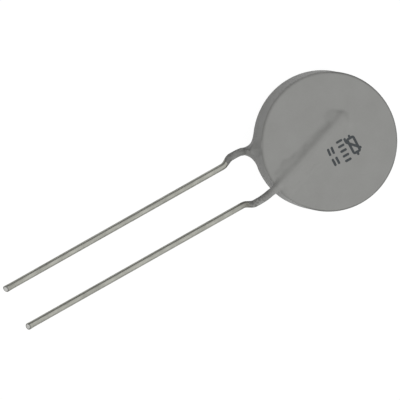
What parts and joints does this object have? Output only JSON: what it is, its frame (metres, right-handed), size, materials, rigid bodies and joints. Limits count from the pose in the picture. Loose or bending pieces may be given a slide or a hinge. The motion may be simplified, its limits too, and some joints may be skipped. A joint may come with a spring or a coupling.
{
  "type": "ptc thermistor",
  "caption": "Lacquered disc resistor whose resistance rises with heat, with kinked parallel wire legs for a circuit board.",
  "frame": {"origin": "midway between the two straight legs, at the seating plane where they end and their kinks begin", "axes": "+X from the legs towards the disc, +Y from the front face's leg to the back face's leg, +Z out of the disc's front face; the part lies on its back face"},
  "size_m": [0.0489, 0.016, 0.0054],
  "materials": {
    "lacquer": "satin",
    "tinned_wire": "satin",
    "solder": "satin",
    "silver_layer": "matte",
    "ceramic_body": "matte"
  },
  "bodies": {
    "root": {"ceramic_disc": "ceramic_body", "front_electrode": "silver_layer", "back_electrode": "silver_layer", "front_solder_joint": "solder", "back_solder_joint": "solder", "front_lead": "tinned_wire", "back_lead": "tinned_wire", "coating": "lacquer"}
  },
  "joints": []
}
